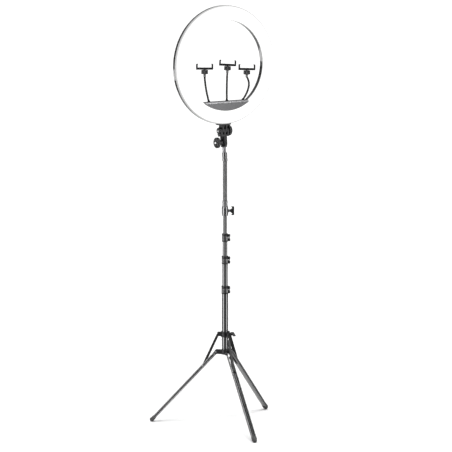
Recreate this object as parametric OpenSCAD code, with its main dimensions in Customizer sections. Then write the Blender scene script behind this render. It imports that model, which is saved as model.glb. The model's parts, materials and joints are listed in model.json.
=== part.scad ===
// Ring lamp on a folding light stand, with a gooseneck, a tilt head and three phone holders.
// +Z is up, the lamp faces -Y, and the origin is on the pole's axis at floor level.

/* [Ring lamp] */
// Outer diameter of the ring
ring_od = 480; // [470:1:490]
// Diameter of the opening inside the ring
ring_id = 362; // [356:1:368]
// Height of the ring's centre above the floor
ring_z = 1493; // [1491:1:1500]
// Distance from the pole's axis forward to the diffuser's face
ring_front = 6.5; // [5:0.5:9]
// Distance from the pole's axis back to the housing's back plate
ring_back = 16; // [15:0.5:18]
// Wall thickness of the moulded shells
shell_wall = 2.2; // [1.8:0.1:2.6]
// Depth of the control box behind the ring
control_depth = 24; // [22:1:30]
// Number of light-emitting diodes in each of the two rows
led_count = 72; // [36:12:96]

/* [Phone shelf] */
// Height of the shelf's top below the ring's centre
shelf_drop = 146; // [142:1:150]
// How far the shelf's front stands ahead of the pole's axis
shelf_front = 20; // [16:1:24]
// How far the shelf reaches behind the pole's axis
shelf_back = 14; // [10:1:16]

/* [Stand] */
// Distance of the leg pivots from the pole's axis
hub_r = 35.5; // [35:0.5:37]
// Height of the leg pivots above the floor
hub_z = 308; // [306:0.5:310]
// Length of a leg from its pivot to the centre of its foot
leg_length = 405.5; // [405:0.5:407]
// Angle of an opened leg below the horizontal
leg_drop = 47.6; // [47.5:0.1:48]
// Width of the leg channel
leg_w = 16; // [15:0.5:17]
// Depth of the leg channel
leg_h = 14; // [13:0.5:15]
// Distance of the strut pivots on the sliding collar from the pole's axis
collar_r = 31; // [30:0.5:32]
// Height of the strut pivots above the leg pivots
collar_rise = 70; // [68:0.5:71]
// Distance along a leg from its pivot to the strut
strut_reach = 83; // [81:0.5:84]
// Outer radii of the four pole sections, from the floor up
tube_r = [13, 11.5, 9.8, 8]; // [8:0.1:13]
// Heights of the three flip clamps' lower ends
clamp_z = [553, 677, 770]; // [540:1:780]
// Height of one flip clamp
clamp_h = 33; // [32:1:36]

/* [Neck and head] */
// Height of the lower end of the socket that holds the gooseneck
neck_socket_z = 877; // [870:1:884]
// Radius of the gooseneck
goose_r = 9.1; // [8.5:0.1:9.5]
// Heights of the lower and upper ends of the gooseneck's hose
goose_z = [940, 1102]; // [936:1:1106]
// Backward lean of everything between the gooseneck and the ring
neck_lean = 6.5; // [5:0.5:8]
// Radius of the metal spigot
spigot_r = 7.5; // [7:0.1:8]
// Distance of the head's socket above the floor, measured along the leaning neck
head_z = 1159; // [1156:1:1162]
// Depth of the tilt joint's fins
fin_depth = 28; // [26:1:30]
// Radius of the two round hand knobs of the head
knob_r = 22; // [20:0.5:22.5]

/* [Phone holders] */
// Width of a holder across its jaws
holder_w = 69; // [66:1:72]
// Height of the jaws above the tray
jaw_h = 15; // [13:1:18]
// Radius of a holder's bendable arm
arm_r = 3.8; // [3.4:0.1:4]

/* [Hidden] */
$fn = 48;

black = "#1b1b1e";
satin = "#2c2c30";
rubber = "#121213";
grey = "#6a6b6e";
steel = "#8c8d90";
white = "#f4f4f2";

fit = 0.05;          // clearance of a fixed joint
run = 0.1;           // clearance of a turning joint
tube_wall = 1.3;
side_az = -40;       // the neck knob and the clamp levers point this way
knob_az = -52;       // the collar's knob points this way
leg_az = [137, 22, -101];
ring_r = ring_od / 2;
hole_r = ring_id / 2;
tilt_z = ring_z - ring_r - 28;
tilt_y = (tilt_z - goose_z[1]) * tan(neck_lean);
tilt_h = goose_z[1] + (tilt_z - goose_z[1]) / cos(neck_lean);
seam = -0.75;        // front edge of the housing's outer wall, measured forward of the pole's axis
board_h = -1.4;      // face of the LED board, measured forward of the pole's axis
leg_wall = 1.5;
cheek_low = leg_w / 2 + 0.2;
cheek_high = cheek_low + 2.8;
rivet_r = 2.5;
foot_r = 9.5;
leg_end = leg_length - 5;
collar_z = hub_z + collar_rise;
clamp_seat = 20;     // depth to which a clamp holds the lower of its two tubes
fin_w = 6.8;
fin_pitch = 7.8;
shelf_z = ring_z - shelf_drop;
holder_az = -34;
strut_w = 10;
strut_h = 10;
strut_end = [hub_r + strut_reach * cos(leg_drop), hub_z - strut_reach * sin(leg_drop)];
strut_run = strut_end - [collar_r, collar_z];
strut_length = norm(strut_run);
strut_drop = atan2(-strut_run[1], strut_run[0]);

// Holder arms: where each stands on the shelf, where it bends, where it ends, and its lean
arm_foot = [[-78, 0, shelf_z], [9, 0, shelf_z], [88, 0, shelf_z]];
arm_knee = [[-92, 0, shelf_z + 56], [9, 0, shelf_z + 60], [116, 0, shelf_z + 52]];
arm_head = [[-98, 0, shelf_z + 110], [11.5, 0, shelf_z + 120], [106.5, 0, shelf_z + 98.5]];
arm_lean = [0, 2.5, 1];
knee_r = arm_r + 0.3;

// ---- shared shapes ----

// A straight round bar between two points
module rod(a, b, r) {
    d = b - a;
    translate(a)
        rotate([0, acos(d[2] / norm(d)), atan2(d[1], d[0])])
            cylinder(h = norm(d), r = r);
}

// A hollow round section standing on the pole's axis
module pipe(r_out, r_in, z_low, z_high) {
    difference() {
        translate([0, 0, z_low]) cylinder(h = z_high - z_low, r = r_out);
        translate([0, 0, z_low - 1]) cylinder(h = z_high - z_low + 2, r = r_in);
    }
}

// Children drawn along +X are turned to point out of the pole at azimuth az
module to_side(az = side_az) {
    rotate([0, 0, az]) children();
}

// Children drawn upright are leaned back with the neck, about the upper end of its hose
module lean() {
    translate([0, 0, goose_z[1]]) rotate([-neck_lean, 0, 0]) translate([0, 0, -goose_z[1]]) children();
}

// A cylinder along +X from x_low to x_high
module bar_x(r, x_low, x_high) {
    translate([x_low, 0, 0]) rotate([0, 90, 0]) cylinder(h = x_high - x_low, r = r);
}

// A cylinder along Y, centred on the origin
module bar_y(r, w) {
    rotate([90, 0, 0]) cylinder(h = w, r = r, center = true);
}

// Revolves a profile of [radius, distance forward] about the ring's own axis
module ring_turn(a_start = 0, a_span = 360) {
    translate([0, 0, ring_z])
        rotate([90, 0, 0])
            rotate([0, 0, a_start])
                rotate_extrude(angle = a_span, $fn = 180)
                    children();
}

// A curved block between two radii, two depths and two angles of the ring
module ring_block(r_low, r_high, front_low, front_high, a_start, a_span) {
    ring_turn(a_start, a_span)
        translate([r_low, front_low]) square([r_high - r_low, front_high - front_low]);
}

// Children drawn in the frame of leg i: +X down the leg, +Z out of the channel's open side
module on_leg(i) {
    rotate([0, 0, leg_az[i - 1]])
        translate([hub_r, 0, hub_z])
            rotate([0, leg_drop, 0])
                children();
}

// A hand screw along +X: a threaded stud, a hub and a cross bar
module wing_screw(stud_start, hub_start) {
    wing_h = 36;
    union() {
        bar_x(3, stud_start, hub_start + 1);
        bar_x(6.5, hub_start, hub_start + 9);
        difference() {
            translate([hub_start + 5, -2.6, -wing_h / 2]) cube([13, 5.2, wing_h]);
            for (s = [-1, 1])
                translate([hub_start + 5, 0, s * 12]) bar_y(4, 8);
        }
    }
}

// A round knob along +X with a fluted rim
module fluted_knob(r, w) {
    flutes = 12;
    difference() {
        bar_x(r, 0, w);
        for (k = [0 : flutes - 1])
            rotate([k * 360 / flutes, 0, 0])
                translate([0, r + 1.6, 0]) bar_x(3.2, 3, w + 1);
    }
}

// ---- lower stand ----

module base_tube() {
    color(satin) pipe(tube_r[0], tube_r[0] - tube_wall, hub_z - 6, clamp_z[0] + clamp_seat);
}

module leg_hub() {
    color(black) difference() {
        union() {
            translate([0, 0, hub_z - 9]) cylinder(h = 19, r = 17);
            for (i = [1 : 3], s = [-1, 1]) rotate([0, 0, leg_az[i - 1]])
                translate([0, s * (cheek_low + cheek_high) / 2, hub_z]) union() {
                    translate([10, (cheek_low - cheek_high) / 2, -8])
                        cube([hub_r - 10, cheek_high - cheek_low, 16]);
                    translate([hub_r, 0, 0]) bar_y(8, cheek_high - cheek_low);
                }
        }
        translate([0, 0, hub_z - 6]) cylinder(h = 30, r = tube_r[0] + fit);
        for (i = [1 : 3]) rotate([0, 0, leg_az[i - 1]])
            translate([hub_r, 0, hub_z]) bar_y(rivet_r + fit, 2 * cheek_high + 2);
    }
}

module hub_pins() {
    color(steel) for (i = [1 : 3]) rotate([0, 0, leg_az[i - 1]]) translate([hub_r, 0, hub_z]) union() {
        bar_y(rivet_r, 2 * cheek_high + 2);
        for (s = [-1, 1]) translate([0, s * (cheek_high + run + 0.8), 0]) bar_y(4.4, 1.6);
    }
}

module leg_collar() {
    color(black) difference() {
        union() {
            translate([0, 0, collar_z - 6]) cylinder(h = 22.5, r = 17.5);
            to_side(knob_az) translate([0, 0, collar_z + 7]) bar_x(7, 14, 23);
            for (i = [1 : 3]) rotate([0, 0, leg_az[i - 1]]) {
                translate([12, -2.4, collar_z - 4]) cube([collar_r - 12, 4.8, 18]);
                translate([collar_r, 0, collar_z]) {
                    bar_y(4, 4.8);
                    bar_y(2, 12);
                    for (s = [-1, 1]) translate([0, s * 5.7, 0]) bar_y(3.2, 1);
                }
            }
        }
        translate([0, 0, collar_z - 20]) cylinder(h = 60, r = tube_r[0] + 0.15);
        to_side(knob_az) translate([0, 0, collar_z + 7]) bar_x(3 + run, 0, 30);
    }
}

module collar_knob() {
    color(black) to_side(knob_az) translate([0, 0, collar_z + 7])
        rotate([55, 0, 0]) wing_screw(13.6, 24);
}

module channel_block(w, h, r) {
    translate([-w / 2, r - h / 2]) square([w, h - r]);
    translate([r - w / 2, -h / 2]) square([w - 2 * r, h / 2]);
    for (s = [-1, 1]) translate([s * (w / 2 - r), r - h / 2]) circle(r);
}

module leg(i) {
    inner_w = leg_w - 2 * leg_wall;
    color(satin) on_leg(i) difference() {
        union() {
            rotate([90, 0, 90]) linear_extrude(leg_end) difference() {
                channel_block(leg_w, leg_h, 3);
                translate([0, leg_wall]) channel_block(inner_w, leg_h, 1.5);
            }
            bar_y(leg_h / 2, leg_w);
            translate([strut_reach, 0, 0])
                for (s = [-1, 1]) translate([0, s * (leg_w / 2 + 0.6), 0]) bar_y(3.6, 1.4);
        }
        translate([-leg_h, -inner_w / 2, -leg_h]) cube([leg_h + 12, inner_w, 2 * leg_h]);
        translate([24.3, -5.5, -leg_h]) cube([strut_reach - 22.8, 11, leg_h / 2 + leg_wall + 0.2]);
        bar_y(rivet_r + run, leg_w + 4);
    }
}

module foot(i) {
    sleeve = 11;
    color(rubber) difference() {
        on_leg(i) union() {
            intersection() {
                translate([leg_end - sleeve, -9.2, -8.2]) cube([sleeve + 5, 18.4, 16.4]);
                bar_x(11, leg_end - sleeve, leg_length);
            }
            translate([leg_length, 0, 0]) rotate([0, 90, 0]) sphere(r = foot_r);
        }
        on_leg(i)
            translate([leg_end - sleeve - 1, -leg_w / 2 - fit, -leg_h / 2 - fit])
                cube([sleeve + 1 + fit, leg_w + 2 * fit, leg_h + 2 * fit]);
        translate([-500, -500, -50]) cube([1000, 1000, 50]);
    }
}

module strut(i) {
    color(black) rotate([0, 0, leg_az[i - 1]]) translate([collar_r, 0, collar_z])
        rotate([0, strut_drop, 0]) difference() {
            union() {
                translate([0, -strut_w / 2, -strut_h / 2]) cube([strut_length, strut_w, strut_h]);
                for (x = [0, strut_length]) translate([x, 0, 0]) bar_y(strut_h / 2, strut_w);
            }
            translate([-strut_h, -2.6, -strut_h]) cube([strut_h + 16, 5.2, 2 * strut_h]);
            bar_y(2 + run, strut_w + 4);
        }
}

// ---- telescoping pole ----

module stand_tube_2() {
    color(satin) pipe(tube_r[1], tube_r[1] - tube_wall, 420, clamp_z[1] + clamp_seat);
}

module stand_tube_3() {
    color(satin) pipe(tube_r[2], tube_r[2] - tube_wall, 510, clamp_z[2] + clamp_seat);
}

module stand_tube_4() {
    color(satin) pipe(tube_r[3], tube_r[3] - tube_wall, 600, neck_socket_z + 12);
}

clamp_r = [14.8, 13.8, 12.8];
lever_pin = 17.6;    // distance of a clamp lever's pin from the pole's axis

module clamp_collar(i) {
    z = clamp_z[i - 1];
    color(black) difference() {
        union() {
            translate([0, 0, z]) cylinder(h = clamp_h, r = clamp_r[i - 1]);
            to_side() for (level = [z + 2.5, z + clamp_h - 13]) {
                translate([0, -4.2, level]) cube([lever_pin, 8.4, 10.5]);
                translate([lever_pin, 0, level]) cylinder(h = 10.5, r = 4.2);
            }
        }
        translate([0, 0, z - 1]) cylinder(h = clamp_seat + 1, r = tube_r[i - 1] + fit);
        translate([0, 0, z]) cylinder(h = clamp_h + 1, r = tube_r[i] + run);
        to_side() {
            translate([lever_pin, 0, z - 1]) cylinder(h = clamp_h + 2, r = 1.5 + run);
            translate([0, -1, z + clamp_seat]) cube([clamp_r[i - 1] + 0.6, 2, clamp_h]);
        }
    }
}

module clamp_lever(i) {
    z = clamp_z[i - 1];
    outer = clamp_r[i - 1];
    color(black) to_side() union() {
        translate([lever_pin, 0, z + 2.5]) cylinder(h = clamp_h - 5, r = 1.5);
        translate([lever_pin, 0, z + 13.3]) cylinder(h = 6.4, r = 2.6);
        translate([0, 0, z + 13.3]) rotate([0, 0, -40])
            rotate_extrude(angle = 38) translate([outer + 0.9, 0]) square([2.4, 6.4]);
        translate([0, 0, z + 5]) rotate([0, 0, -120])
            rotate_extrude(angle = 84) translate([outer + 0.6, 0]) square([3, 18]);
    }
}

// ---- gooseneck ----

module neck_socket() {
    color(black) difference() {
        union() {
            translate([0, 0, neck_socket_z]) cylinder(h = 39, r = 13.5);
            to_side() translate([0, 0, neck_socket_z + 21]) bar_x(6.5, 8, 19);
        }
        translate([0, 0, neck_socket_z - 1]) cylinder(h = 13, r = tube_r[3] + fit);
        translate([0, 0, neck_socket_z + 15]) cylinder(h = 30, r = 8 + run);
        to_side() translate([0, 0, neck_socket_z + 21]) bar_x(3 + run, 0, 30);
    }
}

module neck_knob() {
    color(black) to_side() translate([0, 0, neck_socket_z + 21]) wing_screw(8.3, 20);
}

module lower_ferrule() {
    color(black) union() {
        translate([0, 0, neck_socket_z + 15.1]) cylinder(h = 30, r = 8);
        translate([0, 0, neck_socket_z + 39.1]) cylinder(h = goose_z[0] - neck_socket_z - 39.1, r = 11);
    }
}

module gooseneck_lower() {
    middle = (goose_z[0] + goose_z[1]) / 2;
    color(satin) union() {
        translate([0, 0, goose_z[0]]) cylinder(h = middle - goose_z[0], r = goose_r);
        translate([0, 0, middle]) sphere(r = goose_r - 0.2);
    }
}

module gooseneck_upper() {
    start = (goose_z[0] + goose_z[1]) / 2 + goose_r + 0.2;
    color(satin) difference() {
        translate([0, 0, start]) cylinder(h = goose_z[1] - start + 5, r = goose_r);
        lean() translate([-20, -20, goose_z[1] - fit]) cube([40, 40, 20]);
    }
}

module upper_ferrule() {
    color(steel) lean() union() {
        translate([0, 0, goose_z[1]]) cylinder(h = head_z - 22 - goose_z[1], r = 10.9);
        translate([0, 0, goose_z[1] + 10]) cylinder(h = head_z + 32 - goose_z[1] - 10, r = spigot_r);
    }
}

// ---- tilt head ----

module head_socket() {
    shoulder = tilt_h - fin_depth / 2 - 2;
    knob_z = head_z + 19;
    color(black) lean() difference() {
        union() {
            translate([0, 0, head_z]) cylinder(h = shoulder - head_z, r1 = 12.5, r2 = 14);
            translate([0, 0, knob_z]) bar_x(9, -24, 0);
            translate([-19, -fin_depth / 2, shoulder - 8]) cube([38, fin_depth, 8]);
            for (k = [-1 : 1]) translate([2 * k * fin_pitch, 0, 0]) {
                translate([-fin_w / 2, -fin_depth / 2, shoulder - 1]) cube([fin_w, fin_depth, tilt_h - shoulder + 1]);
                translate([0, 0, tilt_h]) bar_x(fin_depth / 2, -fin_w / 2, fin_w / 2);
            }
        }
        translate([0, 0, head_z - 1]) cylinder(h = 35, r = spigot_r + run);
        to_side(-120) {
            translate([0, -3, head_z - 1]) cube([20, 6, 27]);
            translate([0, 0, head_z + 26]) bar_x(3, 0, 20);
        }
        translate([0, 0, knob_z]) bar_x(4 + run, -40, 0);
        translate([0, 0, tilt_h]) bar_x(4 + run, -30, 30);
    }
}

module socket_knob() {
    color(black) lean() translate([0, 0, head_z + 19]) rotate([0, 0, 180]) union() {
        bar_x(4, spigot_r + 0.2, 28);
        translate([27, 0, 0]) fluted_knob(knob_r, 12);
    }
}

module tilt_knob() {
    color(black) lean() translate([0, 0, tilt_h]) union() {
        bar_x(4, -24, 22);
        bar_x(7, -24, -19.2);
        bar_x(9, 19.2, 22);
        translate([21.5, 0, 0]) fluted_knob(knob_r, 12);
    }
}

module ring_bracket() {
    saddle = [[-31, 25.2], [-21, 22.9], [-17, 22], [17, 22], [21, 22.9], [31, 25.2], [31, 34], [-31, 34]];
    color(black) difference() {
        union() {
            difference() {
                translate([0, 22, tilt_z]) rotate([90, 0, 0]) linear_extrude(20.5) polygon(saddle);
                translate([0, 0, ring_z]) bar_y(ring_r + fit, 80, $fn = 180);
            }
            for (s = [-1, 1]) translate([s * fin_pitch, tilt_y, tilt_z]) {
                translate([-fin_w / 2, -fin_depth / 2, 0]) cube([fin_w, fin_depth, 24]);
                bar_x(fin_depth / 2, -fin_w / 2, fin_w / 2);
            }
        }
        translate([0, tilt_y, tilt_z]) bar_x(4 + run, -30, 30);
    }
}

// ---- ring lamp ----

function quarter(cx, cy, r, a_start, a_end) =
    [for (k = [0 : 8]) let (a = a_start + (a_end - a_start) * k / 8) [cx + r * cos(a), cy + r * sin(a)]];

module rear_housing() {
    w = shell_wall;
    color(satin) difference() {
        union() {
            ring_turn() union() {
                polygon(concat(
                    quarter(ring_r - 4, -ring_back + 4, 4, 0, -90),
                    quarter(hole_r + 3, -ring_back + 3, 3, -90, -180),
                    [[hole_r, ring_front - w - fit], [hole_r + w, ring_front - w - fit],
                     [hole_r + w, -ring_back + w], [ring_r - w, -ring_back + w],
                     [ring_r - w, seam], [ring_r, seam]]));
                for (r = [hole_r + 16, ring_r - 16])
                    translate([r, -ring_back + w - 0.5])
                        square([1.6, ring_back - w + 0.5 + board_h - 1.6]);
            }
            for (a = [0 : 60 : 300]) ring_boss(a, 4);
        }
        for (a = [0 : 60 : 300]) ring_boss(a, 1.5 + fit, 20);
        ring_block(hole_r + 22, ring_r - 22, -ring_back - 1, -ring_back + w + 1, -93, 6);
    }
}

// A screw boss on the housing's floor at angle a
module ring_boss(a, r, over = 0) {
    translate([0, 0, ring_z]) rotate([90, 0, 0]) rotate([0, 0, a])
        translate([ring_r - 8, 0, -ring_back + 0.5 - over]) cylinder(h = 10 + over, r = r);
}

module diffuser() {
    w = shell_wall;
    edge = ring_front - seam;
    color(white) ring_turn() union() {
        polygon(concat(
            quarter(ring_r - edge, seam, edge, 0, 90),
            [[hole_r, ring_front], [hole_r, ring_front - w]],
            quarter(ring_r - edge, seam, edge - w, 90, 0)));
        translate([ring_r - 2 * w - fit, seam - 3]) square([w, 4]);
        translate([hole_r + w + fit, ring_front - w - 3]) square([w - 0.4, 3.5]);
    }
}

module led_board() {
    color("#e9ece6") ring_block(hole_r + 8, ring_r - 14, board_h - 1.6, board_h, 0, 360);
}

module led_chips() {
    color("#f2dc7a") translate([0, 0, ring_z]) rotate([90, 0, 0])
        for (r = [hole_r + 18, ring_r - 26], k = [0 : led_count - 1])
            rotate([0, 0, k * 360 / led_count])
                translate([r, -2.5, board_h]) cube([5, 5, 1.2]);
}

control_low = hole_r + 9;
control_high = ring_r - 8;
control_face = -ring_back - control_depth;
control_mid = (control_low + control_high) / 2;
knob_x = -34;
button_x = 12;
inlet_x = 48;

// Children drawn with +X out of the back are placed on the control box at offset x
module on_control(x) {
    translate([x, -control_face, ring_z - sqrt(control_mid * control_mid - x * x)])
        rotate([0, 0, 90]) children();
}

module control_cover() {
    w = shell_wall;
    color(black) difference() {
        ring_block(control_low, control_high, control_face, -ring_back - fit, -112, 44);
        ring_block(control_low + w, control_high - w, control_face + w, -ring_back + 1, -111.3, 42.6);
        on_control(knob_x) bar_x(3 + run, -5, 1);
        on_control(button_x) bar_x(6 + run, -5, 1);
        on_control(inlet_x) bar_x(5.5 + fit, -5, 1);
    }
}

module driver_board() {
    color("#1f6b45") translate([-50, ring_back + 5, ring_z - control_high + 8]) cube([100, 1.6, 24]);
}

module dc_inlet() {
    color(black) on_control(inlet_x) difference() {
        bar_x(5.5, -12, 0.6);
        bar_x(2.75, -9, 1);
    }
}

module dimmer_knob() {
    color(grey) on_control(knob_x) union() {
        bar_x(3, -6, 2);
        translate([0.6, 0, 0]) fluted_knob(11, 11);
    }
}

module power_button() {
    color(grey) on_control(button_x) union() {
        bar_x(6, -4, 3);
        bar_x(7.2, -5, -3);
    }
}

module housing_screws() {
    color(steel) for (a = [0 : 60 : 300])
        translate([0, 0, ring_z]) rotate([90, 0, 0]) rotate([0, 0, a]) translate([ring_r - 8, 0, 0]) union() {
            translate([0, 0, -ring_back - 1.8]) cylinder(h = 1.75, r = 3);
            translate([0, 0, -ring_back - 0.1]) cylinder(h = 8, r = 1.5);
        }
}

module phone_shelf() {
    lip_r = hole_r + 3;
    color(grey) difference() {
        intersection() {
            translate([0, 0, ring_z]) rotate([90, 0, 0]) union() {
                translate([0, 0, ring_front + fit])
                    cylinder(h = shelf_front - ring_front - fit, r = lip_r, $fn = 180);
                translate([0, 0, -shelf_back])
                    cylinder(h = shelf_back + shelf_front, r = hole_r - 0.2, $fn = 180);
            }
            translate([-200, -100, shelf_z - 60]) cube([400, 200, 60]);
        }
        intersection() {
            translate([0, 3 - shelf_front + shelf_back + 40, ring_z])
                bar_y(hole_r - 3.5, 80, $fn = 180);
            translate([-100, 3 - shelf_front, shelf_z - 63.5]) cube([200, 100, 60]);
        }
        for (p = arm_foot) translate([p[0], p[1], shelf_z - 10]) cylinder(h = 20, r = 3 + fit);
    }
}

// ---- phone holders ----

module arm_base(i) {
    foot_p = arm_foot[i - 1];
    knee = arm_knee[i - 1];
    color(black) union() {
        translate(foot_p) cylinder(h = 2.5, r1 = 6, r2 = 5);
        translate(foot_p - [0, 0, 8]) cylinder(h = 12, r = 3);
        rod(foot_p + [0, 0, 3], knee, arm_r);
        translate(knee) sphere(r = knee_r);
    }
}

// Children drawn with the holder's axis along +Z are placed at the end of arm i
module on_holder(i) {
    translate(arm_head[i - 1]) rotate([0, 0, holder_az]) rotate([0, arm_lean[i - 1], 0]) children();
}

module arm_top(i) {
    knee = arm_knee[i - 1];
    head = arm_head[i - 1];
    way = (head - knee) / norm(head - knee);
    color(black) union() {
        rod(knee + way * (knee_r + 0.3), head - way * 2, arm_r);
        on_holder(i) {
            translate([0, 0, -6]) cylinder(h = 9.6, r = 5);
            translate([0, 0, 3]) cylinder(h = 2.4, r = 3);
        }
    }
}

ball_z = 12;

module holder_nut(i) {
    color(black) on_holder(i) difference() {
        union() {
            translate([0, 0, 3.8]) cylinder(h = 14.2, r = 14);
            translate([0, 0, 18]) cylinder(h = 1.8, r1 = 14, r2 = 12.2);
        }
        translate([0, 0, 3]) cylinder(h = 5, r = 3 + run);
        translate([0, 0, ball_z]) sphere(r = 6.1);
        translate([0, 0, ball_z + 3]) cylinder(h = 6, r = 5.3);
        for (k = [0 : 9]) rotate([0, 0, 36 * k]) translate([15.2, 0, 3]) cylinder(h = 14, r = 2.4);
    }
}

tray_low = ball_z + 10;
tray_high = tray_low + 7.5;
tray_d = 20;
slot_z = (tray_low + tray_high) / 2;

module holder_cradle(i) {
    half = holder_w / 2;
    color(black) on_holder(i) difference() {
        union() {
            translate([0, 0, ball_z]) sphere(r = 6);
            translate([0, 0, ball_z]) cylinder(h = tray_low - ball_z + 1.5, r = 3);
            translate([-half, -tray_d / 2, tray_low]) cube([holder_w - 5.2, tray_d, tray_high - tray_low]);
            translate([-half, -tray_d / 2, tray_low]) cube([5, tray_d, tray_high - tray_low + jaw_h]);
            translate([-half, -tray_d / 2, tray_high + jaw_h - 2.5]) cube([8, tray_d, 2.5]);
        }
        translate([-8, -6.2, slot_z - 1.9]) cube([holder_w, 12.4, 3.8]);
    }
}

module holder_jaw(i) {
    half = holder_w / 2;
    color(black) on_holder(i) union() {
        translate([-6, -6, slot_z - 1.7]) cube([half + 4, 12, 3.4]);
        translate([half - 5, -tray_d / 2, tray_low]) cube([5, tray_d, tray_high - tray_low + jaw_h]);
        translate([half - 8, -tray_d / 2, tray_high + jaw_h - 2.5]) cube([8, tray_d, 2.5]);
    }
}

// ---- what is drawn ----

base_tube();
leg_hub();
hub_pins();
leg_collar();
collar_knob();
stand_tube_2();
stand_tube_3();
stand_tube_4();
neck_socket();
neck_knob();
lower_ferrule();
gooseneck_lower();
gooseneck_upper();
upper_ferrule();
head_socket();
socket_knob();
tilt_knob();
ring_bracket();
rear_housing();
diffuser();
led_board();
led_chips();
driver_board();
control_cover();
dc_inlet();
dimmer_knob();
power_button();
housing_screws();
phone_shelf();
for (i = [1 : 3]) {
    leg(i);
    foot(i);
    strut(i);
    clamp_collar(i);
    clamp_lever(i);
    arm_base(i);
    arm_top(i);
    holder_nut(i);
    holder_cradle(i);
    holder_jaw(i);
}
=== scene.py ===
"""Ring lamp on a folding light stand: the looks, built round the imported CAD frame.

Shapes are drawn in millimetres in small local frames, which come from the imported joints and
node boxes, and become metres when a piece is made.
"""

import json
from math import acos, atan2, cos, degrees, pi, radians, sin, sqrt, tan

import bmesh
import bpy
from mathutils import Matrix, Vector


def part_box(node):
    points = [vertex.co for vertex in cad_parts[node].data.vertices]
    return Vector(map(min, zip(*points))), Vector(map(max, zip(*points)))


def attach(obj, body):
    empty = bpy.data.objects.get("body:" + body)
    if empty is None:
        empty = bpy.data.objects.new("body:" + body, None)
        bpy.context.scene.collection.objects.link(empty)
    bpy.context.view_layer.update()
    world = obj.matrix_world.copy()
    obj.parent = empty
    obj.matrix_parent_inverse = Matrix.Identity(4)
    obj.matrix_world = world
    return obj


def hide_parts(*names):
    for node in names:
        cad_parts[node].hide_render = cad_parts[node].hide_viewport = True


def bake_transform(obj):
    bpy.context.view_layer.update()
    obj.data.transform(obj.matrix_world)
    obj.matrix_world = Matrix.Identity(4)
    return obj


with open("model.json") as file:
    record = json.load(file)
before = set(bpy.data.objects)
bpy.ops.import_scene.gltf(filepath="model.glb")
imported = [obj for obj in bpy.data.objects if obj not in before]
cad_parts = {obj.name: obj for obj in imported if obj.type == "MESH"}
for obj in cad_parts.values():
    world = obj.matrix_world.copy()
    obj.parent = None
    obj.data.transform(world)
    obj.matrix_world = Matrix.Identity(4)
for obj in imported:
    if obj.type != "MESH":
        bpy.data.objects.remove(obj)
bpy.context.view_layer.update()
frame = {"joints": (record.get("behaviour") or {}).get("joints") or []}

# --- Driving sizes, in millimetres, read from the frame ---
MM = 0.001
JOINTS = {j["name"]: j for j in frame["joints"]}


def box(node):
    low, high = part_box(node)
    return low / MM, high / MM


def pivot(joint):
    return Vector(JOINTS[joint]["pos_m"]) / MM


def axis(joint):
    return Vector(JOINTS[joint]["axis"]).normalized()


RING_LOW, RING_HIGH = box("rear_housing")
RING_R = (RING_HIGH.x - RING_LOW.x) / 2
RING_Z = (RING_HIGH.z + RING_LOW.z) / 2
RING_BACK = RING_HIGH.y
RING_FRONT = -box("diffuser")[0].y
RING_BAND = 59.0
HOLE_R = RING_R - RING_BAND
SEAM = -0.75
SHELF_LOW, SHELF_HIGH = box("phone_shelf")
TILT_Z = pivot("ring_tilt").z
SIDE = atan2(axis("neck_knob_turn").y, axis("neck_knob_turn").x)
KNOB_SIDE = atan2(axis("collar_knob_turn").y, axis("collar_knob_turn").x)
TUBE_R = [box(n)[1].x for n in ("base_tube", "stand_tube_2", "stand_tube_3", "stand_tube_4")]
TUBE_WALL = 1.3
SLOPE = radians(JOINTS["leg_1_fold"]["range_deg"][1] - 90)
STRUT_HALF = 5.0
STRUT_AT = (pivot("leg_1_fold").z - box("strut_1")[0].z - STRUT_HALF) / sin(SLOPE)
LEG_W, LEG_H, LEG_WALL = 16.0, 14.0, 1.5
LEG_END = (pivot("leg_1_fold").z - box("leg_1")[0].z - LEG_H / 2 * cos(SLOPE)) / sin(SLOPE)


# --- Frames ---
def at(x=0.0, y=0.0, z=0.0):
    return Matrix.Translation((x, y, z))


def turn(degrees, about):
    return Matrix.Rotation(radians(degrees), 4, about)


def aimed(origin, x_axis, z_hint):
    """A frame at origin with +X along x_axis and +Z as near z_hint as it can be."""
    x = Vector(x_axis).normalized()
    y = Vector(z_hint).cross(x).normalized()
    z = x.cross(y)
    m = Matrix((x, y, z)).transposed().to_4x4()
    m.translation = origin
    return m


UP = Vector((0, 0, 1))
POLE = Matrix.Identity(4)
ALONG_X = turn(90, "Y")
SIDEWAYS = Matrix.Rotation(SIDE, 4, "Z")
KNOBWARDS = Matrix.Rotation(KNOB_SIDE, 4, "Z")
RING = at(0, 0, RING_Z) @ turn(90, "X")



def outward(point):
    """The level part of a point's way out from the pole."""
    return Vector((point.x, point.y, 0))


def lug_frame(joint):
    """The upright plane through the pole and this joint's hinge, and how far out the hinge is."""
    hinge = pivot(joint)
    out = outward(hinge)
    return aimed(Vector((0, 0, hinge.z)), out, UP) @ turn(90, "X"), out.length


def hinge_line(joint):
    """A frame at this joint's hinge, with +Z along the hinge."""
    return aimed(pivot(joint), axis(joint), UP) @ ALONG_X


# The neck leans back from the top of its hose; heights along it are counted from the floor
HEAD_AXIS = axis("head_swivel")
HEAD_FOOT = pivot("head_swivel")
BEND_AT = HEAD_FOOT - HEAD_AXIS * (HEAD_FOOT.y / HEAD_AXIS.y)
LEAN = atan2(HEAD_AXIS.y, HEAD_AXIS.z)
NECK = at(0, 0, BEND_AT.z) @ Matrix.Rotation(-LEAN, 4, "X") @ at(0, 0, -BEND_AT.z)
HEAD_LOW = BEND_AT.z + (HEAD_FOOT - BEND_AT).length
TILT_Y = pivot("ring_tilt").y
TILT_H = BEND_AT.z + (TILT_Z - BEND_AT.z) / cos(LEAN)


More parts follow.
